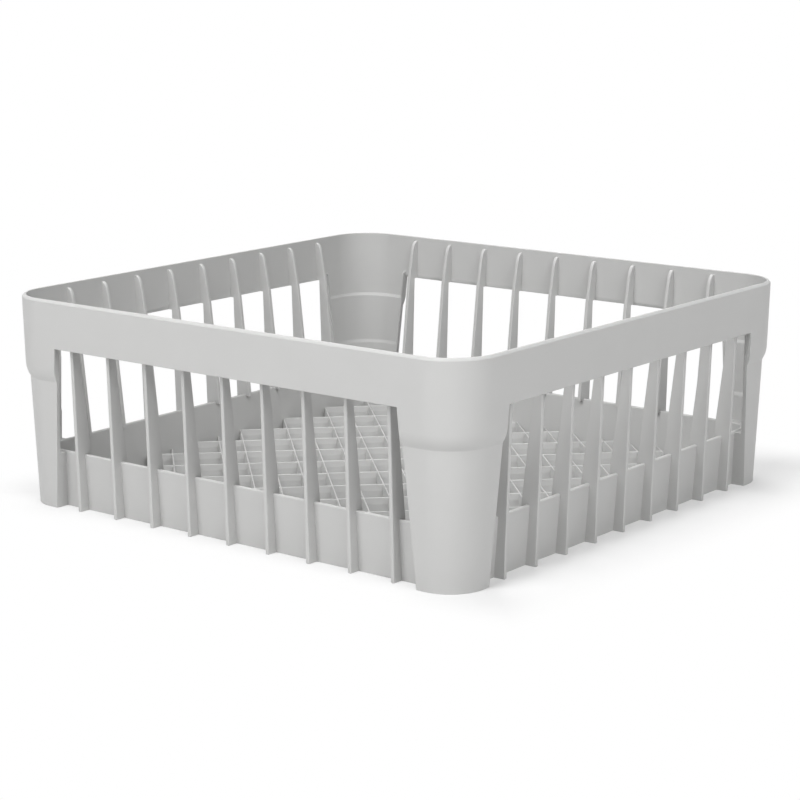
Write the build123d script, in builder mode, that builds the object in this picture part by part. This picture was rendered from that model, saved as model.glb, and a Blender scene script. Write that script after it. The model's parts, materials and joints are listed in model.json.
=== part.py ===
from build123d import *
import os
from math import radians, sqrt, tan

# Square basket for washing glasses, moulded in one piece and open at the top.
# Millimetres. The origin is the middle of the base and Z points up.
# A reach is the distance from the basket's middle to the face of a wall.

# Overall size and wall
rim_width = 400.0
height = 150.0
corner_radius = 34.0  # outside, at the rim
wall = 3.0

# Band under the rim
band_height = 33.8
band_draft = 1.4  # degrees
rim_bevel = 1.7  # outside, its two edges eased
rim_ease = 0.6

# Corner posts, stepped in below a rounded shoulder
post_width = 50.4  # from the rim's side to the post's edge, just under the band
post_lean = 4.8  # degrees by which the two edges close in towards the foot
post_draft = 2.4  # degrees
shoulder_drop = 48.0  # from the rim
shoulder_height = 10.0  # outside
shoulder_depth = 3.0
inner_step_drop = 49.8  # from the rim to the step inside the shoulder
inner_step_height = 1.8
post_wall = 2.4  # below the inner step
edge_return = 2.5  # thickness of the return along a post's upright edge
panel_depth = 0.9  # of the recessed panel inside a post, between its edge returns
panel_foot = 59.0  # from the floor to the step under the panel
panel_step_height = 2.5

# Band round the base
base_inset = 18.2  # from the rim's side, at the floor
base_height = 40.6
base_draft = 4.2  # degrees
base_lip = 0.8
corner_deck = 3.0  # thickness of the deck between the base band and a post

# Upright fins in the four open walls
fins_per_wall = 9
fin_thickness = 2.4
fin_depth = 6.6  # at the band's foot
fin_post_gap = 10.6  # from the post's edge, under the band, to the middle of the end fin
fin_recess = 6.0  # behind the band's outer face
fin_draft = 1.8  # degrees, of the outer edge
fin_lean = 6.6  # degrees, of the inner edge
fin_foot_drop = 1.8  # from the base band's top to the foot inside it
rib_depth = 5.3  # at the top, inside the band
rib_drop = 5.4  # from the rim to the rib's inner corner
rib_top_slope = 2.2  # rise of the rib's top towards the band
rib_bevel = 1.4

# Lattice floor, its ribs at 45 degrees to the walls
lattice_top = 13.5
lattice_depth = 11.5
long_rib_pitch = 36.6
long_rib_thickness = 2.0
cross_rib_pitch = 18.3
cross_rib_thickness = 1.6

cut_past = 1.0  # by which a cutter runs past the floor

half = rim_width / 2
corner = half - corner_radius
band_foot = height - band_height
shoulder_top = height - shoulder_drop
shoulder_foot = shoulder_top - shoulder_height
inner_step_top = height - inner_step_drop
inner_step_foot = inner_step_top - inner_step_height
panel_low = panel_foot + panel_step_height
post_full = post_wall + panel_depth
deck_top = base_height - base_lip
deck_under = deck_top - corner_deck
fin_end = half - post_width - fin_post_gap
fin_pitch = 2 * fin_end / (fins_per_wall - 1)


def band_reach(z):
    """Outer face of the rim band, and of the posts down to their shoulder."""
    return half - (height - rim_bevel - rim_ease - z) * tan(radians(band_draft))


def post_reach(z):
    """Outer face of the posts below their shoulder."""
    return band_reach(shoulder_top) - shoulder_depth - (shoulder_foot - z) * tan(radians(post_draft))


def base_reach(z):
    """Outer face of the base band."""
    return half - base_inset + z * tan(radians(base_draft))


def post_edge(z):
    """Distance of a post's upright edge from the middle of the wall."""
    return half - post_width + (band_foot - z) * tan(radians(post_lean))


def section(points):
    """Closed face in the XZ plane from (reach, z) corners."""
    with BuildSketch(Plane.XZ) as face:
        with BuildLine():
            Polyline(*points, close=True)
        make_face()
    return face.sketch


def bevelled(face, corner_points, length):
    """The same face with some of its corners bevelled."""
    with BuildSketch(Plane.XZ) as cut:
        add(Plane.XZ.to_local_coords(face))
        chamfer([cut.vertices().sort_by_distance(p)[0] for p in corner_points], length)
    return cut.sketch


def four(piece):
    """The same piece on each of the four sides."""
    with BuildPart() as sides:
        with PolarLocations(0, 4):
            add(piece)
    return sides.part


def straights(face):
    """A section carried along the straight of each wall."""
    with BuildPart() as run:
        extrude(face, amount=corner, both=True)
    return four(run.part)


def around(face):
    """A section carried once round the rounded square."""
    with BuildPart() as bend:
        revolve(Pos(0, corner, 0) * face, axis=Axis((corner, corner, 0), (0, 0, 1)), revolution_arc=90)
    with BuildPart() as whole:
        add(straights(face))
        add(four(bend.part))
    return whole.part


def wall_openings(margin):
    """What is open between the posts of each wall, wider by a margin at both posts."""
    low = -cut_past
    with BuildPart() as cutter:
        with BuildSketch(Plane.YZ.offset(corner)):
            with BuildLine():
                Polyline(
                    (-post_edge(low) - margin, low),
                    (post_edge(low) + margin, low),
                    (post_edge(band_foot) + margin, band_foot),
                    (-post_edge(band_foot) - margin, band_foot),
                    close=True,
                )
            make_face()
        extrude(amount=2 * corner_radius)
    return four(cutter.part)


# Band and posts share one drafted wall, which steps in below the shoulder
with BuildSketch(Plane.XZ) as wall_face:
    with BuildLine():
        TangentArc(
            (band_reach(shoulder_top), shoulder_top),
            (post_reach(shoulder_foot), shoulder_foot),
            tangent=(-tan(radians(band_draft)), -1),
        )
        Polyline(
            (post_reach(shoulder_foot), shoulder_foot),
            (post_reach(0), 0),
            (post_reach(0) - post_full, 0),
            (post_reach(panel_foot) - post_full, panel_foot),
            (post_reach(panel_low) - post_wall, panel_low),
            (post_reach(inner_step_foot) - post_wall, inner_step_foot),
            (band_reach(inner_step_top) - wall, inner_step_top),
            (band_reach(height) - wall, height),
            (band_reach(height), height),
            (band_reach(shoulder_top), shoulder_top),
        )
    make_face()
    rim_edge = (band_reach(height), height)
    chamfer(wall_face.vertices().sort_by_distance(rim_edge)[0], rim_bevel)
    chamfer(wall_face.vertices().sort_by_distance(rim_edge)[:2], rim_ease)

# Returns along the upright edges of the posts, flush with the wall below the panel
return_section = section(
    [
        (post_reach(0) - post_full, 0),
        (post_reach(0) - post_wall / 2, 0),
        (post_reach(inner_step_foot) - post_wall / 2, inner_step_foot),
        (band_reach(inner_step_top) - wall / 2, inner_step_top),
        (band_reach(band_foot) - wall / 2, band_foot),
        (band_reach(band_foot) - wall - panel_depth, band_foot),
        (band_reach(inner_step_top) - wall - panel_depth, inner_step_top),
        (post_reach(inner_step_foot) - post_full, inner_step_foot),
    ]
)
with BuildPart() as returns:
    add(straights(return_section))
    add(wall_openings(edge_return), mode=Mode.INTERSECT)
    add(wall_openings(0), mode=Mode.SUBTRACT)

# A deck joins the base band to each post and is hollow underneath
deck_section = section(
    [
        (base_reach(0) - wall, 0),
        (post_reach(0) - post_wall / 2, 0),
        (post_reach(deck_top) - post_wall / 2, deck_top),
        (base_reach(deck_top) - wall, deck_top),
    ]
)
hollow_section = section(
    [
        (base_reach(-cut_past) - wall / 2, -cut_past),
        (post_reach(0) - post_full, -cut_past),
        (post_reach(0) - post_full, deck_under),
        (base_reach(deck_under) - wall / 2, deck_under),
    ]
)
with BuildPart() as hollows:
    add(around(hollow_section))
    add(wall_openings(edge_return), mode=Mode.SUBTRACT)

# Base band with its bevelled top edge
base_section = section(
    [
        (base_reach(0) - wall, 0),
        (base_reach(0), 0),
        (base_reach(base_height), base_height),
        (base_reach(base_height) - wall, base_height),
    ]
)
base_top = [(base_reach(base_height), base_height), (base_reach(base_height) - wall, base_height)]
base_section = bevelled(base_section, base_top, base_lip)

# A fin stands on the floor outside the base band, reaches over its top with a short foot,
# and runs up inside the rim band as a rib
rib_corner_z = height - rib_drop
rib_corner = band_reach(rib_corner_z) - wall - rib_depth
fin_top = band_reach(band_foot) - fin_recess
fin_foot = base_height - fin_foot_drop
fin_foot_reach = fin_top - fin_depth - (band_foot - fin_foot) * tan(radians(fin_lean))
fin_section = section(
    [
        (base_reach(0) - wall / 2, 0),
        (fin_top - band_foot * tan(radians(fin_draft)), 0),
        (fin_top, band_foot),
        (band_reach(band_foot) - wall / 2, band_foot),
        (band_reach(rib_corner_z) - wall / 2, rib_corner_z + rib_top_slope),
        (rib_corner, rib_corner_z),
        (fin_top - fin_depth, band_foot),
        (fin_foot_reach, fin_foot),
        (base_reach(fin_foot) - wall / 2, fin_foot),
    ]
)
fin_section = bevelled(fin_section, [(rib_corner, rib_corner_z)], rib_bevel)
with BuildPart() as fin:
    extrude(fin_section, amount=fin_thickness / 2, both=True)

# Lattice floor, its ribs ending inside the base band
floor_reach = base_reach(lattice_top) - wall / 2
floor_diagonal = sqrt(2) * corner + floor_reach - corner
long_ribs = 2 * int(floor_diagonal / long_rib_pitch) + 1
cross_ribs = 2 * int(floor_diagonal / cross_rib_pitch) + 1
with BuildPart() as lattice:
    with BuildSketch(Plane.XY.offset(lattice_top - lattice_depth)):
        with Locations(Location((0, 0, 0), (0, 0, 45))):
            with GridLocations(0, long_rib_pitch, 1, long_ribs):
                Rectangle(2 * floor_diagonal, long_rib_thickness)
            with GridLocations(cross_rib_pitch, 0, cross_ribs, 1):
                Rectangle(cross_rib_thickness, 2 * floor_diagonal)
        RectangleRounded(2 * floor_reach, 2 * floor_reach, floor_reach - corner, mode=Mode.INTERSECT)
    extrude(amount=lattice_depth)

with BuildPart() as rack:
    add(around(wall_face.sketch))
    add(around(deck_section))
    add(wall_openings(0), mode=Mode.SUBTRACT)
    add(hollows.part, mode=Mode.SUBTRACT)
    add(returns.part)
    add(around(base_section))
    with PolarLocations(0, 4):
        with GridLocations(0, fin_pitch, 1, fins_per_wall):
            add(fin.part)
    add(lattice.part)
rack.part.label = "rack"

os.makedirs("parts", exist_ok=True)
export_step(rack.part, "parts/rack.step")
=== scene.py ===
"""Square basket for washing glasses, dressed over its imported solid.

Sizes are in millimetres and become metres when a mesh is made. Drafts, leans, turns and
tilts are in degrees. The origin is the middle of the base and Z points up. A reach is the
distance from the basket's middle to the face of a wall.
"""

import json
import logging
from collections.abc import Callable, Sequence
from dataclasses import dataclass, field
from enum import Enum
from itertools import pairwise
from math import acos, cos, pi, radians, sin, sqrt, tan
from typing import Any

import bmesh
import bpy
from mathutils import Matrix, Vector

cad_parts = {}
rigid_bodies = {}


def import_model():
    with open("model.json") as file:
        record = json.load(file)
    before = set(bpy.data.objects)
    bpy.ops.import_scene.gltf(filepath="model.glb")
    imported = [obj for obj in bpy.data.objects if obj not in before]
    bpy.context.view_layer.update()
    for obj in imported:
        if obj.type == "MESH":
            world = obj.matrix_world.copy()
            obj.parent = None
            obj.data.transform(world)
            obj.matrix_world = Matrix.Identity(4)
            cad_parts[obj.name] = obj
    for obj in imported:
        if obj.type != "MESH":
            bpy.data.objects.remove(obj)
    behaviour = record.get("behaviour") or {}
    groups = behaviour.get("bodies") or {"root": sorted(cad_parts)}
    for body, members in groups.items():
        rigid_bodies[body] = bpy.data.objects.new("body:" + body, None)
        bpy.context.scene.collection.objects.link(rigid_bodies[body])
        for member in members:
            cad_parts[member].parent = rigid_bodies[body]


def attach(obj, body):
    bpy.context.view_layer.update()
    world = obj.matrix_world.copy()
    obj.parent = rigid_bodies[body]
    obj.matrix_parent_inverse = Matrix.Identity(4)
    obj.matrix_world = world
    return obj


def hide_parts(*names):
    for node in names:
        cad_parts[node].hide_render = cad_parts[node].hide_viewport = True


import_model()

MM = 0.001
WELD = 0.001 * MM
BODY = "root"
NODE = "rack"
QUARTER_ROUND = [pi / 2 * step / 6 for step in range(7)]

Row = tuple[float, float]
Station = Callable[[float, float], Vector]

log = logging.getLogger("rack")


def linear(code: str) -> tuple[float, float, float, float]:
    """Turns an sRGB hex value to a linear colour.

    Args:
        code: Six hex digits, such as "C8C8C5".

    Returns:
        Linear red, green and blue, with an alpha of 1.
    """
    shares = [int(code[at : at + 2], 16) / 255 for at in (0, 2, 4)]
    red, green, blue = (s / 12.92 if s <= 0.04045 else ((s + 0.055) / 1.055) ** 2.4 for s in shares)
    return red, green, blue, 1.0


def add_node(
    tree: bpy.types.NodeTree, kind: str, sockets: dict[str | int, Any] | None = None, **settings: Any
) -> bpy.types.Node:
    """Adds a node to a tree, with its settings, values and links.

    Args:
        tree: The tree that gets the node.
        kind: The node's type name.
        sockets: Value of each input, or the output socket that is linked to it.
        **settings: Properties of the node itself.

    Returns:
        The new node.
    """
    node = tree.nodes.new(kind)
    for name, value in settings.items():
        setattr(node, name, value)
    for name, value in (sockets or {}).items():
        if isinstance(value, bpy.types.NodeSocket):
            tree.links.new(value, node.inputs[name])
        else:
            node.inputs[name].default_value = value
    return node


def new_object(name: str, mesh: bpy.types.Mesh) -> bpy.types.Object:
    """Puts a mesh in the scene, at the origin.

    Args:
        name: Name of the object.
        mesh: The object's mesh.

    Returns:
        The new object.
    """
    piece = bpy.data.objects.new(name, mesh)
    bpy.context.scene.collection.objects.link(piece)
    return piece


def settle(piece: bpy.types.Object) -> None:
    """Turns what the modifiers of a piece make into its plain mesh, and removes them.

    Args:
        piece: The piece, whose old mesh is dropped.
    """
    depsgraph = bpy.context.evaluated_depsgraph_get()
    mesh = bpy.data.meshes.new_from_object(piece.evaluated_get(depsgraph), depsgraph=depsgraph)
    piece.modifiers.clear()
    piece.data = mesh
    mesh.name = piece.name


@dataclass(frozen=True)
class RackForm:
    """Sizes of the moulding that its pieces share."""

    rim_width: float = 400.0
    height: float = 150.0
    corner_radius: float = 34.0
    wall: float = 3.0
    band_height: float = 33.8
    band_draft: float = 1.4
    rim_bevel: float = 1.7
    post_width: float = 50.4
    post_lean: float = 4.8
    post_draft: float = 2.4
    shoulder_drop: float = 48.0
    shoulder_height: float = 10.0
    shoulder_depth: float = 3.0
    base_inset: float = 18.2
    base_height: float = 40.6
    base_draft: float = 4.2
    base_lip: float = 0.8

    @property
    def half(self) -> float:
        """Reach of the rim."""
        return self.rim_width / 2

    @property
    def corner(self) -> float:
        """Distance from the middle, along a wall, at which the corner's bend starts."""
        return self.half - self.corner_radius

    @property
    def band_foot(self) -> float:
        """Height of the rim band's lower edge."""
        return self.height - self.band_height

    @property
    def shoulder_top(self) -> float:
        """Height at which a post starts to step in."""
        return self.height - self.shoulder_drop

    @property
    def shoulder_foot(self) -> float:
        """Height at which a post's shoulder ends."""
        return self.shoulder_top - self.shoulder_height

    def band_reach(self, z: float) -> float:
        """Reach of the rim band's outer face, and of the posts down to the shoulder."""
        drop = self.height - self.rim_bevel - z
        return self.half - drop * tan(radians(self.band_draft))

    def post_reach(self, z: float) -> float:
        """Reach of a post's outer face below its shoulder."""
        draft = (self.shoulder_foot - z) * tan(radians(self.post_draft))
        return self.band_reach(self.shoulder_top) - self.shoulder_depth - draft

    def base_reach(self, z: float) -> float:
        """Reach of the base band's outer face."""
        return self.half - self.base_inset + z * tan(radians(self.base_draft))

    def post_edge(self, z: float) -> float:
        """Distance of a post's upright edge from the middle of the wall."""
        drop = self.band_foot - min(z, self.band_foot)
        return self.half - self.post_width + drop * tan(radians(self.post_lean))

    def on_wall(self, offset: Callable[[float], float]) -> Station:
        """Gives a station on the straight of a wall.

        Args:
            offset: Distance from the middle of the wall, for a height.

        Returns:
            The station's point for a reach and a height.
        """
        return lambda reach, z: Vector((reach, offset(z), z))

    def half_bend(self, steps: int) -> list[Station]:
        """Gives stations from the start of a corner's bend to its middle.

        Args:
            steps: Number of spans in the half bend.

        Returns:
            The stations, in order from the wall.
        """

        def at(angle: float) -> Station:
            """Gives one station of the bend.

            Args:
                angle: Angle from the start of the bend.

            Returns:
                The station's point for a reach and a height.
            """

            def point(reach: float, z: float) -> Vector:
                """Gives the station's point for a reach and a height."""
                radius = reach - self.corner
                return Vector((self.corner + radius * cos(angle), self.corner + radius * sin(angle), z))

            return point

        return [at(pi / 4 * step / steps) for step in range(steps + 1)]


class Skin:
    """Faces of one piece, kept as corner points until they are welded to a mesh."""

    def __init__(self) -> None:
        """Starts with no faces."""
        self.faces: list[list[Vector]] = []

    def face(self, points: Sequence[Vector]) -> None:
        """Adds one face."""
        self.faces.append(list(points))

    def span(self, stations: Sequence[Station], rows: Sequence[Row]) -> None:
        """Spans a surface from station to station, through the same rows at each.

        Args:
            stations: Places along the wall.
            rows: Reach and height of each line of the surface.
        """
        for here, there in pairwise(stations):
            for one, other in pairwise(rows):
                self.face([here(*one), here(*other), there(*other), there(*one)])

    def loft(self, lines: Sequence[tuple[Station, Sequence[Row]]]) -> None:
        """Spans a surface from station to station, each with rows of its own.

        Args:
            lines: Stations along the wall, each with as many rows as the others.
        """
        for (here, ours), (there, theirs) in pairwise(lines):
            for (one, other), (far_one, far_other) in zip(pairwise(ours), pairwise(theirs)):
                self.face([here(*one), here(*other), there(*far_other), there(*far_one)])

    def prism(self, outlines: Sequence[Sequence[Vector]]) -> None:
        """Closes a body from outline to outline.

        Args:
            outlines: Outlines with as many points each, the first and the last of them its ends.
        """
        self.face(outlines[0])
        self.face(outlines[-1])
        for ours, theirs in pairwise(outlines):
            for (a, b), (c, d) in zip(pairwise([*ours, ours[0]]), pairwise([*theirs, theirs[0]])):
                self.face([a, b, d, c])

    def all_round(self) -> None:
        """Repeats an eighth of the basket to make the whole."""
        mirrored = [[Vector((p.y, p.x, p.z)) for p in face] for face in self.faces]
        corner = self.faces + mirrored
        turns = [Matrix.Rotation(pi / 2 * turn, 3, "Z") for turn in range(4)]
        self.faces = [[turn @ p for p in face] for turn in turns for face in corner]

    def weld(self, name: str) -> bpy.types.Object:
        """Makes one closed mesh of the faces, in metres.

        Args:
            name: Name of the piece.

        Returns:
            The piece's object, smooth shaded.
        """
        shell = bmesh.new()
        for face in self.faces:
            shell.faces.new([shell.verts.new(p * MM) for p in face])
        bmesh.ops.remove_doubles(shell, verts=shell.verts, dist=WELD)
        bmesh.ops.recalc_face_normals(shell, faces=shell.faces)
        mesh = bpy.data.meshes.new(name)
        shell.to_mesh(mesh)
        shell.free()
        mesh.shade_smooth()
        return new_object(name, mesh)


def round_edges(
    piece: bpy.types.Object,
    radius: float,
    sharper_than: float = 17.0,
    steps: int = 2,
    room: float = 1.3,
) -> None:
    """Rounds the sharp edges of a moulded piece, and keeps its broad faces flat to the eye.

    Args:
        piece: The piece whose edges are rounded.
        radius: Width of the rounding.
        sharper_than: Angle, in degrees, from which an edge is rounded.
        steps: Number of faces across the rounding.
        room: Width that the faces beside an edge need, in radii, for it to be rounded.
    """
    least = room * radius * MM
    shell = bmesh.new()
    shell.from_mesh(piece.data)
    weight = shell.edges.layers.float.new("bevel_weight_edge")
    for edge in shell.edges:
        roomy = all(face.calc_area() > least * edge.calc_length() for face in edge.link_faces)
        sharp = edge.calc_face_angle(0.0) > radians(sharper_than)
        edge[weight] = float(roomy and sharp)
    shell.to_mesh(piece.data)
    shell.free()
    edges = piece.modifiers.new("moulded_edges", "BEVEL")
    edges.width = radius * MM
    edges.segments = steps
    edges.limit_method = "WEIGHT"
    edges.use_clamp_overlap = False
    normals = piece.modifiers.new("flat_faces", "WEIGHTED_NORMAL")
    normals.weight = 100
    normals.keep_sharp = False
    settle(piece)


@dataclass(frozen=True)
class MouldedPolypropylene:
    """Light grey polypropylene from an etched mould.

    The etched steel leaves a fine even grain, so lights give a wide soft sheen and no
    clear reflection, and the melt's flow leaves the grey a little cloudy.
    """

    grey: str = "C4C4C3"
    cloud_grey: str = "C0C0BF"
    cloud_size: float = 38.0
    cloud_roughness: float = 0.55
    grain_size: float = 1.1  # the real grain is about 0.3 and too fine to show
    grain_height: float = 0.05
    grain_strength: float = 0.35
    sheen_patch: float = 14.0
    smoothest: float = 0.40
    roughest: float = 0.52
    ior: float = 1.49

    def material(self) -> bpy.types.Material:
        """Makes the material.

        Returns:
            The new material, with all its nodes.
        """
        plastic = bpy.data.materials.new("moulded_polypropylene")
        plastic.use_nodes = True
        tree = plastic.node_tree
        tree.nodes.clear()
        place = add_node(tree, "ShaderNodeTexCoord").outputs["Object"]
        cloud = add_node(
            tree,
            "ShaderNodeTexNoise",
            {
                "Vector": place,
                "Scale": 1 / (self.cloud_size * MM),
                "Detail": 3.0,
                "Roughness": self.cloud_roughness,
            },
        )
        colour = add_node(
            tree,
            "ShaderNodeMix",
            {0: cloud.outputs["Fac"], 6: linear(self.grey), 7: linear(self.cloud_grey)},
            data_type="RGBA",
        )
        patch = add_node(
            tree,
            "ShaderNodeTexNoise",
            {"Vector": place, "Scale": 1 / (self.sheen_patch * MM), "Detail": 2.0},
        )
        rough = add_node(
            tree,
            "ShaderNodeMapRange",
            {"Value": patch.outputs["Fac"], "To Min": self.smoothest, "To Max": self.roughest},
        )
        grain = add_node(
            tree,
            "ShaderNodeTexNoise",
            {"Vector": place, "Scale": 1 / (self.grain_size * MM), "Detail": 1.0},
        )
        bump = add_node(
            tree,
            "ShaderNodeBump",
            {
                "Strength": self.grain_strength,
                "Distance": self.grain_height * MM,
                "Height": grain.outputs["Fac"],
            },
        )
        shader = add_node(
            tree,
            "ShaderNodeBsdfPrincipled",
            {
                "Base Color": colour.outputs[2],
                "Roughness": rough.outputs["Result"],
                "IOR": self.ior,
                "Normal": bump.outputs["Normal"],
            },
        )
        add_node(tree, "ShaderNodeOutputMaterial", {"Surface": shader.outputs["BSDF"]})
        return plastic


@dataclass
class WallShell:
    """Rim band and the four corner posts, with the deck behind the foot of each post."""

    form: RackForm
    inner_step_drop: float = 49.8
    inner_step_height: float = 1.8
    post_wall: float = 2.4
    edge_return: float = 2.5
    panel_depth: float = 0.9
    panel_foot: float = 59.0
    panel_step_height: float = 2.5
    deck_thickness: float = 3.0
    bead_rise: float = 3.0
    bead_runout: float = 1.5
    bead_crest: float = 0.45
    crease_drop: float = 0.5
    inner_rim_round: float = 0.6
    edge_round: float = 0.45
    bend_steps: int = 9
    shoulder_steps: int = 8

    def shoulder(self) -> list[Row]:
        """Gives the rounded shoulder of a post, from its foot up to its top.

        Returns:
            Rows on the arc, both ends among them.
        """
        form = self.form
        draft = radians(form.band_draft)
        down = Vector((-sin(draft), -cos(draft)))
        inwards = Vector((-cos(draft), sin(draft)))
        top = Vector((form.band_reach(form.shoulder_top), form.shoulder_top))
        chord = Vector((form.post_reach(form.shoulder_foot), form.shoulder_foot)) - top
        radius = chord.length_squared / (2 * chord.dot(inwards))
        sweep = 2 * acos(chord.dot(down) / chord.length)
        centre = top + radius * inwards
        steps = self.shoulder_steps
        angles = [sweep * (steps - step) / steps for step in range(steps + 1)]
        return [tuple(centre + radius * (down * sin(a) - inwards * cos(a))) for a in angles]

    def rim(self) -> list[Row]:
        """Gives the rim, from the outer face over the top to the inner face.

        Returns:
            Rows on the outer bevel and on the rounded inner edge.
        """
        form = self.form
        rows = [(form.half, form.height - form.rim_bevel), (form.half - form.rim_bevel, form.height)]
        inner = self.inner_rim_round
        face = form.band_reach(form.height) - form.wall
        low = form.height - inner
        return rows + [(face + inner - inner * sin(a), low + inner * cos(a)) for a in QUARTER_ROUND]

    def skin(self) -> Skin:
        """Lays out the faces of the shell.

        Returns:
            The whole shell's faces.
        """
        form = self.form
        foot = form.band_foot
        step_top = form.height - self.inner_step_drop
        step_foot = step_top - self.inner_step_height
        panel_low = self.panel_foot + self.panel_step_height
        deck_top = form.base_height - form.base_lip
        deck_under = deck_top - self.deck_thickness
        thin = self.post_wall
        deep = thin + self.panel_depth

        def base_middle(z: float) -> float:
            """Reach of the middle of the base band's wall, in which the deck ends."""
            return form.base_reach(z) - form.wall / 2

        def band_inner(z: float) -> Row:
            """Gives a row inside the band, or inside a post down to the inner step."""
            return form.band_reach(z) - form.wall, z

        def post_inner(z: float, bead: float) -> Row:
            """Gives a row inside a post below the inner step, with a bead of some depth on it."""
            return form.post_reach(z) - thin - bead, z

        band_out = (form.band_reach(foot), foot)
        foot_out = (form.post_reach(0), 0.0)
        foot_in = (form.post_reach(0) - deep, 0.0)
        web_foot = (base_middle(0), 0.0)
        deck_in = (base_middle(deck_top), deck_top)
        deck_low = (base_middle(deck_under), deck_under)
        hollow_top = (form.post_reach(0) - deep, deck_under)
        crease = form.shoulder_foot - self.crease_drop
        outside = [foot_out, (form.post_reach(crease), crease), *self.shoulder(), band_out]
        bead_end = band_inner(foot + self.bead_rise + self.bead_runout)

        def upper(bead: float) -> list[Row]:
            """Gives the rows from the bead's upper end down to the base band.

            Args:
                bead: Share of the bead's full height, whose crest runs straight past the inner step.

            Returns:
                The rows, in order.
            """
            over_step = [
                (reach - bead * (reach - form.post_reach(z) + deep), z)
                for reach, z in map(band_inner, (foot + self.bead_rise, foot, step_top))
            ]
            return [
                bead_end,
                *over_step,
                post_inner(step_foot, bead * self.panel_depth),
                post_inner(panel_low, bead * self.panel_depth),
                post_inner(self.panel_foot, self.panel_depth),
                post_inner(deck_top, self.panel_depth),
                deck_in,
                deck_low,
            ]

        def on_bead(share: float) -> Station:
            """Gives the station at a share of the bead's width, from the post's edge."""
            return form.on_wall(lambda z: form.post_edge(z) + self.edge_return * share)

        crest = self.bead_crest
        climb = [pi / 2 * step / 7 for step in range(8)]
        fall = [step / 10 for step in range(1, 11)]
        beads = [(on_bead(crest * (1 - cos(turn))), sin(turn)) for turn in climb]
        beads += [(on_bead(crest + (1 - crest) * x), (1 + cos(pi * x)) / 2) for x in fall]
        middle = form.on_wall(lambda z: 0.0)
        edge, inner_edge = beads[0][0], beads[-1][0]
        bend = form.half_bend(self.bend_steps)
        rim = self.rim()

        skin = Skin()
        skin.span([middle, edge], [band_out, *rim, *upper(0.0)[:3], band_out])
        skin.span([edge, inner_edge], [band_out, *rim])
        skin.span([inner_edge, *bend], [band_out, *rim, *upper(0.0), hollow_top, foot_in, foot_out])
        skin.span([edge, inner_edge, *bend], outside)
        skin.loft([(station, [*upper(bead), web_foot, foot_in]) for station, bead in beads])
        for end, beyond in ((bead_end, rim[-1]), (foot_in, foot_out)):
            skin.face([*(station(*end) for station, _ in beads), inner_edge(*beyond), edge(*beyond)])
        skin.face([inner_edge(*row) for row in (deck_low, hollow_top, foot_in, web_foot)])
        skin.face([edge(*row) for row in [*outside, *upper(0.0)[2:], web_foot, foot_in]])
        skin.all_round()
        return skin

    def build(self, plastic: bpy.types.Material) -> bpy.types.Object:
        """Makes the shell and dresses it.

        Args:
            plastic: The moulding's material.

        Returns:
            The finished piece.
        """
        piece = self.skin().weld("rack_wall")
        piece.data.materials.append(plastic)
        round_edges(piece, self.edge_round)
        return piece


@dataclass
class BaseBand:
    """Low band round the floor, with a rounded lip."""

    form: RackForm
    lip_round: float = 1.1
    foot_round: float = 0.4
    bend_steps: int = 9

    def rows(self) -> list[Row]:
        """Gives the band's closed section.

        Returns:
            Rows round the section, the first one again at the end.
        """
        form = self.form
        lip, low = self.lip_round, form.base_height - self.lip_round
        outer, inner = form.base_reach(low), form.base_reach(low) - form.wall
        rows = [(form.base_reach(0) - form.wall, 0.0), (form.base_reach(0), 0.0)]
        rows += [(outer - lip + lip * cos(a), low + lip * sin(a)) for a in QUARTER_ROUND]
        rows += [(inner + lip - lip * sin(a), low + lip * cos(a)) for a in QUARTER_ROUND]
        return [*rows, rows[0]]

    def build(self, plastic: bpy.types.Material) -> bpy.types.Object:
        """Makes the band and dresses it.

        Args:
            plastic: The moulding's material.

        Returns:
            The finished piece.
        """
        skin = Skin()
        stations = [self.form.on_wall(lambda z: 0.0), *self.form.half_bend(self.bend_steps)]
        skin.span(stations, self.rows())
        skin.all_round()
        piece = skin.weld("rack_base")
        piece.data.materials.append(plastic)
        round_edges(piece, self.foot_round)
        return piece


class TreeInput(Enum):
    """Named inputs of the repeating trees, with the kind of socket that each has."""

    FINS = ("Fins in a wall", "NodeSocketInt")
    PITCH = ("Fin pitch", "NodeSocketFloat")
    LONG_PITCH = ("Long rib pitch", "NodeSocketFloat")
    LONG_RIB = ("Long rib thickness", "NodeSocketFloat")
    CROSS_PITCH = ("Cross rib pitch", "NodeSocketFloat")
    CROSS_RIB = ("Cross rib thickness", "NodeSocketFloat")
    LONG_CELLS = ("Cells between long ribs", "NodeSocketInt")
    CROSS_CELLS = ("Cells between cross ribs", "NodeSocketInt")
    DEPTH = ("Lattice depth", "NodeSocketFloat")
    PARTING = ("Depth of the parting line", "NodeSocketFloat")
    TAPER = ("Rib taper above the parting line", "NodeSocketFloat")
    UNDER_TAPER = ("Rib taper below the parting line", "NodeSocketFloat")
    TOP = ("Lattice top", "NodeSocketFloat")
    EDGE = ("Rib edge rounding", "NodeSocketFloat")
    PLASTIC = ("Plastic", "NodeSocketMaterial")


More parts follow.
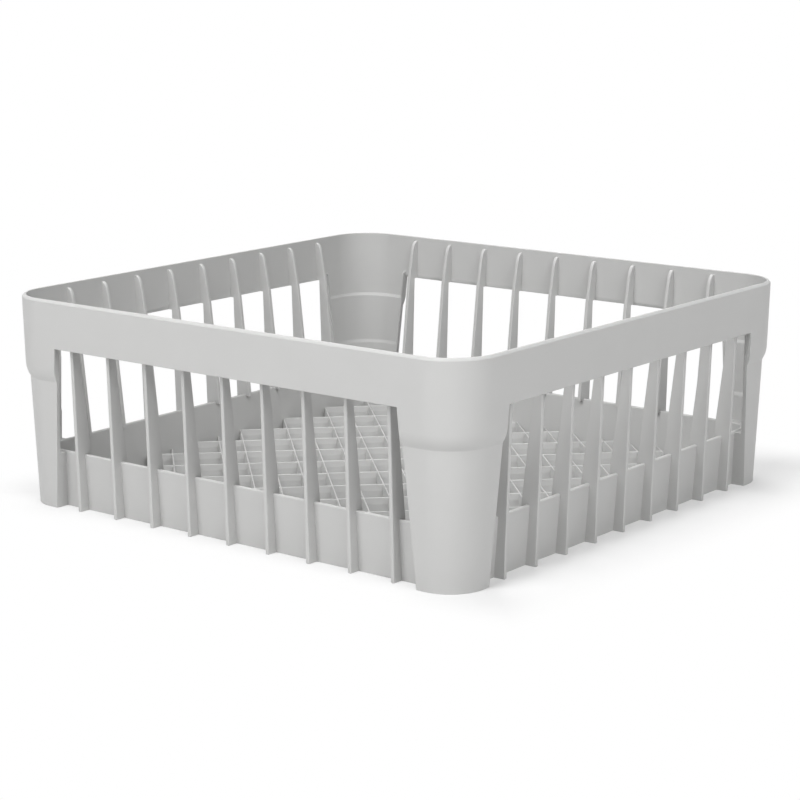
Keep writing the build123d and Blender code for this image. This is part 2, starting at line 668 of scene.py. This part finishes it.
@dataclass
class RepeatTree:
    """A Geometry Nodes tree with named inputs, which makes what repeats in the moulding."""

    name: str
    values: dict[TreeInput, Any]
    tree: bpy.types.NodeTree = field(init=False)
    ids: dict[TreeInput, str] = field(init=False)
    sockets: dict[TreeInput, bpy.types.NodeSocket] = field(init=False)
    mesh_in: bpy.types.NodeSocket = field(init=False)

    def __post_init__(self) -> None:
        """Makes the empty tree and its inputs."""
        self.tree = bpy.data.node_groups.new(self.name, "GeometryNodeTree")
        ports = self.tree.interface
        ports.new_socket("Geometry", in_out="INPUT", socket_type="NodeSocketGeometry")
        ports.new_socket("Geometry", in_out="OUTPUT", socket_type="NodeSocketGeometry")
        self.ids = {
            port: ports.new_socket(port.value[0], in_out="INPUT", socket_type=port.value[1]).identifier
            for port in self.values
        }
        outputs = add_node(self.tree, "NodeGroupInput").outputs
        self.mesh_in = outputs["Geometry"]
        self.sockets = {port: outputs[port.value[0]] for port in self.values}

    def close(self, mesh: bpy.types.NodeSocket) -> None:
        """Ends the tree with plain geometry in the moulding's plastic.

        Args:
            mesh: What the tree has made so far.
        """
        real = add_node(self.tree, "GeometryNodeRealizeInstances", {"Geometry": mesh})
        dressed = add_node(
            self.tree,
            "GeometryNodeSetMaterial",
            {"Geometry": real.outputs["Geometry"], "Material": self.sockets[TreeInput.PLASTIC]},
        )
        add_node(self.tree, "NodeGroupOutput", {"Geometry": dressed.outputs["Geometry"]})

    def run(self, piece: bpy.types.Object) -> None:
        """Runs the tree on a piece and keeps the result as the piece's plain mesh.

        Args:
            piece: The piece, whose mesh goes into the tree.
        """
        modifier = piece.modifiers.new(self.name, "NODES")
        modifier.node_group = self.tree
        for port, value in self.values.items():
            modifier[self.ids[port]] = value
        settle(piece)


@dataclass
class FinRows:
    """Upright fins in the four open walls, each running up inside the band as a rib."""

    form: RackForm
    per_wall: int = 9
    thickness: float = 2.8
    depth: float = 6.9
    post_gap: float = 10.6
    recess: float = 5.7
    draft: float = 1.8
    lean: float = 6.6
    foot_drop: float = 1.8
    rib_depth: float = 5.6
    rib_drop: float = 10.5
    rib_top_drop: float = 3.4
    rib_top_flat: float = 1.0
    rib_top_bulge: float = 1.4
    edge_round: float = 0.7

    def profile(self) -> list[Row]:
        """Gives the side view of a fin.

        Returns:
            Corners of the side face, in order.
        """
        form = self.form
        foot = form.band_foot
        top = form.band_reach(foot) - self.recess
        rib_z = form.height - self.rib_drop
        rib = form.band_reach(rib_z) - form.wall - self.rib_depth
        middle = form.wall / 2
        low = form.base_height - self.foot_drop
        low_reach = top - self.depth - (foot - low) * tan(radians(self.lean))
        start = Vector((rib + self.rib_depth - self.rib_top_flat, form.height - self.rib_top_drop))
        corner = Vector((rib + self.rib_top_bulge, start.y - self.rib_top_bulge))
        end = Vector((rib, rib_z))
        turns = (0.0, 0.2, 0.4, 0.6, 0.8, 1.0)
        bend = [tuple(start * (1 - t) ** 2 + corner * 2 * t * (1 - t) + end * t**2) for t in turns]
        return [
            (form.base_reach(0) - middle, 0.0),
            (top - foot * tan(radians(self.draft)), 0.0),
            (top, foot),
            (form.band_reach(foot) - middle, foot),
            (form.band_reach(rib_z) - middle, start.y),
            *bend,
            (top - self.depth, foot),
            (low_reach, low),
            (form.base_reach(low) - middle, low),
        ]

    def fin(self) -> bpy.types.Object:
        """Makes one fin in the middle of a wall.

        Returns:
            The fin's object, its edges rounded.
        """
        half = self.thickness / 2
        sides = [[Vector((reach, at, z)) for reach, z in self.profile()] for at in (-half, half)]
        skin = Skin()
        skin.prism(sides)
        piece = skin.weld("rack_fins")
        round_edges(piece, self.edge_round, sharper_than=60.0, steps=4)
        return piece

    def build(self, plastic: bpy.types.Material) -> bpy.types.Object:
        """Makes all the fins and dresses them.

        Args:
            plastic: The moulding's material.

        Returns:
            The finished piece.
        """
        end = self.form.half - self.form.post_width - self.post_gap
        pitch = 2 * end / (self.per_wall - 1)
        rows = RepeatTree(
            "fin_rows",
            {TreeInput.FINS: self.per_wall, TreeInput.PITCH: pitch * MM, TreeInput.PLASTIC: plastic},
        )
        tree, sockets = rows.tree, rows.sockets
        count, gap = sockets[TreeInput.FINS], sockets[TreeInput.PITCH]
        gaps = add_node(tree, "ShaderNodeMath", {0: count, 1: 1.0}, operation="SUBTRACT")
        length = add_node(tree, "ShaderNodeMath", {0: gaps.outputs[0], 1: gap}, operation="MULTIPLY")
        start = add_node(tree, "ShaderNodeMath", {0: length.outputs[0], 1: -0.5}, operation="MULTIPLY")
        first = add_node(tree, "ShaderNodeCombineXYZ", {"Y": start.outputs[0]})
        step = add_node(tree, "ShaderNodeCombineXYZ", {"Y": gap})
        line = add_node(
            tree,
            "GeometryNodeMeshLine",
            {"Count": count, "Start Location": first.outputs[0], "Offset": step.outputs[0]},
        )
        one_wall = add_node(
            tree,
            "GeometryNodeInstanceOnPoints",
            {"Points": line.outputs["Mesh"], "Instance": rows.mesh_in},
        )
        walls = add_node(tree, "GeometryNodeMeshLine", {"Count": 4, "Offset": (0.0, 0.0, 0.0)})
        index = add_node(tree, "GeometryNodeInputIndex")
        turn = add_node(tree, "ShaderNodeMath", {0: index.outputs[0], 1: pi / 2}, operation="MULTIPLY")
        facing = add_node(tree, "ShaderNodeCombineXYZ", {"Z": turn.outputs[0]})
        all_walls = add_node(
            tree,
            "GeometryNodeInstanceOnPoints",
            {
                "Points": walls.outputs["Mesh"],
                "Instance": one_wall.outputs["Instances"],
                "Rotation": facing.outputs[0],
            },
        )
        rows.close(all_walls.outputs["Instances"])
        piece = self.fin()
        rows.run(piece)
        return piece


@dataclass
class LatticeFloor:
    """Floor of long ribs and closer cross ribs, at 45 degrees to the walls."""

    form: RackForm
    top: float = 13.5
    depth: float = 11.5
    parting: float = 4.5
    taper: float = 1.2
    under_taper: float = 0.7
    long_pitch: float = 36.6
    long_rib: float = 2.6
    cross_pitch: float = 18.3
    cross_rib: float = 2.2
    edge_round: float = 0.25

    def tree(self, plastic: bpy.types.Material) -> RepeatTree:
        """Builds the tree that makes an endless field of cells.

        Each cell starts as one face of a grid. It is drawn in to the opening, taken down
        past the parting line, where the ribs are thickest, and let out again underneath,
        which leaves the ribs standing.

        Args:
            plastic: The moulding's material.

        Returns:
            The finished tree.
        """
        across = sqrt(2) * self.form.half
        cells = RepeatTree(
            "lattice_floor",
            {
                TreeInput.LONG_PITCH: self.long_pitch * MM,
                TreeInput.LONG_RIB: self.long_rib * MM,
                TreeInput.CROSS_PITCH: self.cross_pitch * MM,
                TreeInput.CROSS_RIB: self.cross_rib * MM,
                TreeInput.LONG_CELLS: 2 * int(across / self.long_pitch + 1),
                TreeInput.CROSS_CELLS: 2 * int(across / self.cross_pitch + 1),
                TreeInput.DEPTH: self.depth * MM,
                TreeInput.PARTING: self.parting * MM,
                TreeInput.TAPER: self.taper * MM,
                TreeInput.UNDER_TAPER: self.under_taper * MM,
                TreeInput.TOP: self.top * MM,
                TreeInput.EDGE: self.edge_round * MM,
                TreeInput.PLASTIC: plastic,
            },
        )
        tree, sockets = cells.tree, cells.sockets
        edge, parting, depth = (
            sockets[port] for port in (TreeInput.EDGE, TreeInput.PARTING, TreeInput.DEPTH)
        )
        both_edges = add_node(tree, "ShaderNodeMath", {0: edge, 1: edge}, operation="ADD").outputs[0]
        above = add_node(tree, "ShaderNodeMath", {0: parting, 1: edge}, operation="SUBTRACT").outputs[0]
        rest = add_node(tree, "ShaderNodeMath", {0: parting, 1: edge}, operation="ADD").outputs[0]
        below = add_node(tree, "ShaderNodeMath", {0: depth, 1: rest}, operation="SUBTRACT").outputs[0]
        ways = (
            ((1.0, 0.0, 0.0), "X", TreeInput.CROSS_PITCH, TreeInput.CROSS_RIB, TreeInput.CROSS_CELLS),
            ((0.0, 1.0, 0.0), "Y", TreeInput.LONG_PITCH, TreeInput.LONG_RIB, TreeInput.LONG_CELLS),
        )
        grid_size: dict[str | int, Any] = {}
        rings: list[list[bpy.types.NodeSocket]] = []
        for _, letter, pitch, rib, count in ways:
            whole, along = sockets[pitch], sockets[count]
            size = add_node(tree, "ShaderNodeMath", {0: whole, 1: along}, operation="MULTIPLY")
            lines = add_node(tree, "ShaderNodeMath", {0: along, 1: 1.0}, operation="ADD")
            grid_size[f"Size {letter}"] = size.outputs[0]
            grid_size[f"Vertices {letter}"] = lines.outputs[0]
            narrow = add_node(tree, "ShaderNodeMath", {0: whole, 1: sockets[rib]}, operation="SUBTRACT")
            parted = narrow.outputs[0]
            holes = [
                add_node(tree, "ShaderNodeMath", {0: parted, 1: taper}, operation="ADD").outputs[0]
                for taper in (sockets[TreeInput.TAPER], sockets[TreeInput.UNDER_TAPER])
            ]
            eased = [
                add_node(tree, "ShaderNodeMath", {0: hole, 1: both_edges}, operation="ADD").outputs[0]
                for hole in holes
            ]
            rings.append([whole, eased[0], holes[0], parted, holes[1], eased[1], whole])
        mesh = add_node(tree, "GeometryNodeMeshGrid", grid_size).outputs["Mesh"]
        top: Any = True
        drops = (None, edge, above, below, edge, None)
        for level, drop in enumerate(drops):
            down: Any = 0.0
            if drop is not None:
                sunk = add_node(tree, "ShaderNodeMath", {0: drop, 1: -1.0}, operation="MULTIPLY")
                down = sunk.outputs[0]
            offset = add_node(tree, "ShaderNodeCombineXYZ", {"Z": down})
            drawn = add_node(
                tree,
                "GeometryNodeExtrudeMesh",
                {
                    "Mesh": mesh,
                    "Selection": top,
                    "Offset": offset.outputs[0],
                    "Offset Scale": 1.0,
                    "Individual": True,
                },
                mode="FACES",
            )
            mesh, top = drawn.outputs["Mesh"], drawn.outputs["Top"]
            for (axis, *_), ring in zip(ways, rings):
                share = add_node(
                    tree, "ShaderNodeMath", {0: ring[level + 1], 1: ring[level]}, operation="DIVIDE"
                )
                mesh = add_node(
                    tree,
                    "GeometryNodeScaleElements",
                    {"Geometry": mesh, "Selection": top, "Scale": share.outputs[0], "Axis": axis},
                    domain="FACE",
                    scale_mode="SINGLE_AXIS",
                ).outputs["Geometry"]
        ribs = add_node(
            tree,
            "GeometryNodeDeleteGeometry",
            {"Geometry": mesh, "Selection": top},
            domain="FACE",
            mode="ALL",
        )
        welded = add_node(
            tree,
            "GeometryNodeMergeByDistance",
            {"Geometry": ribs.outputs["Geometry"], "Distance": 10 * WELD},
        )
        lift = add_node(tree, "ShaderNodeCombineXYZ", {"Z": sockets[TreeInput.TOP]})
        turned = add_node(
            tree,
            "GeometryNodeTransform",
            {
                "Geometry": welded.outputs["Geometry"],
                "Translation": lift.outputs[0],
                "Rotation": (0.0, 0.0, pi / 4),
            },
        )
        cells.close(turned.outputs["Geometry"])
        return cells

    def trim(self, piece: bpy.types.Object) -> None:
        """Cuts the field of cells to the floor's outline, inside the base band's wall.

        Args:
            piece: The field of cells, which becomes the floor.
        """
        reach = self.form.base_reach(self.top) - self.form.wall / 2
        bend = sqrt(2) * self.form.corner + reach - self.form.corner
        shell = bmesh.new()
        shell.from_mesh(piece.data)
        for step in range(8):
            angle = pi / 4 * step
            out = Vector((cos(angle), sin(angle), 0.0))
            bmesh.ops.bisect_plane(
                shell,
                geom=[*shell.verts, *shell.edges, *shell.faces],
                dist=WELD / 10,
                plane_co=out * (bend if step % 2 else reach) * MM,
                plane_no=out,
                clear_outer=True,
            )
            bmesh.ops.holes_fill(shell, edges=[e for e in shell.edges if e.is_boundary], sides=0)
        bmesh.ops.recalc_face_normals(shell, faces=shell.faces)
        shell.to_mesh(piece.data)
        shell.free()

    def build(self, plastic: bpy.types.Material) -> bpy.types.Object:
        """Makes the floor and dresses it.

        Args:
            plastic: The moulding's material.

        Returns:
            The finished piece.
        """
        piece = new_object("rack_lattice", bpy.data.meshes.new("rack_lattice"))
        self.tree(plastic).run(piece)
        self.trim(piece)
        return piece


class LampRole(Enum):
    """What each studio lamp is there for."""

    KEY = "key_lamp"
    LOW = "low_lamp"
    FRONT = "front_lamp"
    SIDE = "side_lamp"
    BACK = "back_lamp"


@dataclass(frozen=True)
class Lamp:
    """A soft square lamp that points at the basket; its place and side are in metres."""

    role: LampRole
    place: tuple[float, float, float]
    side: float
    watts: float

    def build(self, target: Vector) -> None:
        """Hangs the lamp in the scene.

        Args:
            target: The point that the lamp is turned to.
        """
        light = bpy.data.lights.new(self.role.value, "AREA")
        light.shape = "SQUARE"
        light.size = self.side
        light.energy = self.watts
        lamp = bpy.data.objects.new(self.role.value, light)
        lamp.location = self.place
        lamp.rotation_euler = (target - Vector(self.place)).to_track_quat("-Z", "Y").to_euler()
        bpy.context.scene.collection.objects.link(lamp)


def background_share(tree: bpy.types.NodeTree) -> bpy.types.NodeSocket:
    """Gives 1 for the rays that show the surroundings themselves, and 0 for those that light.

    Args:
        tree: The tree that gets the nodes.

    Returns:
        The socket with the share.
    """
    rays = add_node(tree, "ShaderNodeLightPath").outputs
    share = rays["Is Camera Ray"]
    for ray in ("Is Glossy Ray", "Is Transmission Ray"):
        total = add_node(
            tree, "ShaderNodeMath", {0: share, 1: rays[ray]}, operation="ADD", use_clamp=True
        )
        share = total.outputs[0]
    return share


@dataclass
class Studio:
    """Pale floor, soft lamps, white surroundings and the camera; places are in metres."""

    lamps: tuple[Lamp, ...] = (
        Lamp(LampRole.KEY, (0.0, -1.74, 2.0), 1.3, 28.8),
        Lamp(LampRole.LOW, (-0.58, -2.18, 1.37), 1.3, 15.8),
        Lamp(LampRole.FRONT, (1.51, -0.87, 2.0), 1.3, 18.4),
        Lamp(LampRole.SIDE, (2.18, -0.58, 1.37), 1.3, 16.0),
        Lamp(LampRole.BACK, (-0.63, 0.63, 2.51), 1.3, 36.3),
    )
    lamp_target: tuple[float, float, float] = (0.0, 0.0, 0.07)
    sky_level: float = 0.02
    floor_side: float = 12.0
    floor_grey: str = "E6E6E6"
    # near the basket a share of the floor is a painted white glow, which lightens its real shadow; it
    # grows to full white further out
    near_painted_white: float = 0.25
    white_from: float = 0.186
    white_past: float = 0.26
    painted_white_lean: tuple[float, float, float] = (0.0, 0.035, 0.0)  # the painted white glow comes closer in front, which makes the shadow short there
    lens: float = 101.56
    sensor: float = 36.0
    camera_place: tuple[float, float, float] = (0.97593, -1.25730, 0.41524)
    camera_turn: float = 37.893
    camera_tilt: float = 12.371

    def build_floor(self) -> bpy.types.Object:
        """Lays the floor, which keeps the basket's shadow, partly lightened near the basket by a painted
        white glow, and is white further out.

        Returns:
            The floor's object.
        """
        mesh = bpy.data.meshes.new("studio_floor")
        side = self.floor_side / 2
        corners = [(-side, -side, 0), (side, -side, 0), (side, side, 0), (-side, side, 0)]
        mesh.from_pydata(corners, [], [(0, 1, 2, 3)])
        floor = new_object("studio_floor", mesh)
        paper = bpy.data.materials.new("matt_studio_paper")
        paper.use_nodes = True
        tree = paper.node_tree
        tree.nodes.clear()
        place = add_node(tree, "ShaderNodeTexCoord").outputs["Object"]
        leant = add_node(
            tree, "ShaderNodeVectorMath", {0: place, 1: self.painted_white_lean}, operation="SUBTRACT"
        )
        flat = add_node(tree, "ShaderNodeVectorMath", {0: leant.outputs["Vector"]}, operation="ABSOLUTE")
        sides = add_node(tree, "ShaderNodeSeparateXYZ", {0: flat.outputs["Vector"]}).outputs
        away = add_node(tree, "ShaderNodeMath", {0: sides["X"], 1: sides["Y"]}, operation="MAXIMUM")
        # painted white glow over the floor and its shadow: a share of it near the basket, all of it
        # further out, leant to the front
        white = add_node(
            tree,
            "ShaderNodeMapRange",
            {
                "Value": away.outputs["Value"],
                "From Min": self.white_from,
                "From Max": self.white_past,
                "To Min": self.near_painted_white,
            },
            interpolation_type="SMOOTHSTEP",
        )
        share = add_node(
            tree,
            "ShaderNodeMath",
            {0: background_share(tree), 1: white.outputs["Result"]},
            operation="MULTIPLY",
        )
        lit = add_node(tree, "ShaderNodeBsdfDiffuse", {"Color": linear(self.floor_grey)})
        # the painted white glow itself, seen only by the rays that show the surroundings
        plain = add_node(tree, "ShaderNodeEmission", {"Strength": 1.0})
        mixed = add_node(
            tree,
            "ShaderNodeMixShader",
            {0: share.outputs[0], 1: lit.outputs[0], 2: plain.outputs[0]},
        )
        add_node(tree, "ShaderNodeOutputMaterial", {"Surface": mixed.outputs[0]})
        mesh.materials.append(paper)
        return floor

    def build_sky(self) -> None:
        """Surrounds the scene with an even soft light that the camera sees as white."""
        world = bpy.data.worlds.new("studio")
        world.use_nodes = True
        tree = world.node_tree
        tree.nodes.clear()
        level = add_node(
            tree,
            "ShaderNodeMapRange",
            {"Value": background_share(tree), "To Min": self.sky_level, "To Max": 1.0},
        )
        sky = add_node(
            tree,
            "ShaderNodeBackground",
            {"Color": linear("FFFFFF"), "Strength": level.outputs["Result"]},
        )
        add_node(tree, "ShaderNodeOutputWorld", {"Surface": sky.outputs[0]})
        bpy.context.scene.world = world

    def build_camera(self) -> None:
        """Puts the camera where the photograph was taken from."""
        eye = bpy.data.cameras.new("camera")
        eye.lens = self.lens
        eye.sensor_width = self.sensor
        turn, tilt = radians(self.camera_turn), radians(self.camera_tilt)
        forward = Vector((-sin(turn) * cos(tilt), cos(turn) * cos(tilt), -sin(tilt)))
        camera = bpy.data.objects.new("camera", eye)
        camera.location = self.camera_place
        camera.rotation_euler = forward.to_track_quat("-Z", "Y").to_euler()
        bpy.context.scene.collection.objects.link(camera)
        bpy.context.scene.camera = camera

    def build(self) -> None:
        """Makes the studio round the basket."""
        self.build_floor()
        self.build_sky()
        for lamp in self.lamps:
            lamp.build(Vector(self.lamp_target))
        self.build_camera()


def main() -> None:
    """Builds the studio and the basket."""
    logging.basicConfig(level=logging.INFO, format="%(message)s")
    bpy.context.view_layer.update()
    bpy.context.scene.view_settings.view_transform = "Standard"
    Studio().build()
    form = RackForm()
    plastic = MouldedPolypropylene().material()
    for part in (WallShell(form), BaseBand(form), FinRows(form), LatticeFloor(form)):
        piece = part.build(plastic)
        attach(piece, BODY)
        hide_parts(NODE)
        log.info("%s: %d faces", piece.name, len(piece.data.polygons))


if __name__ == "__main__":
    main()
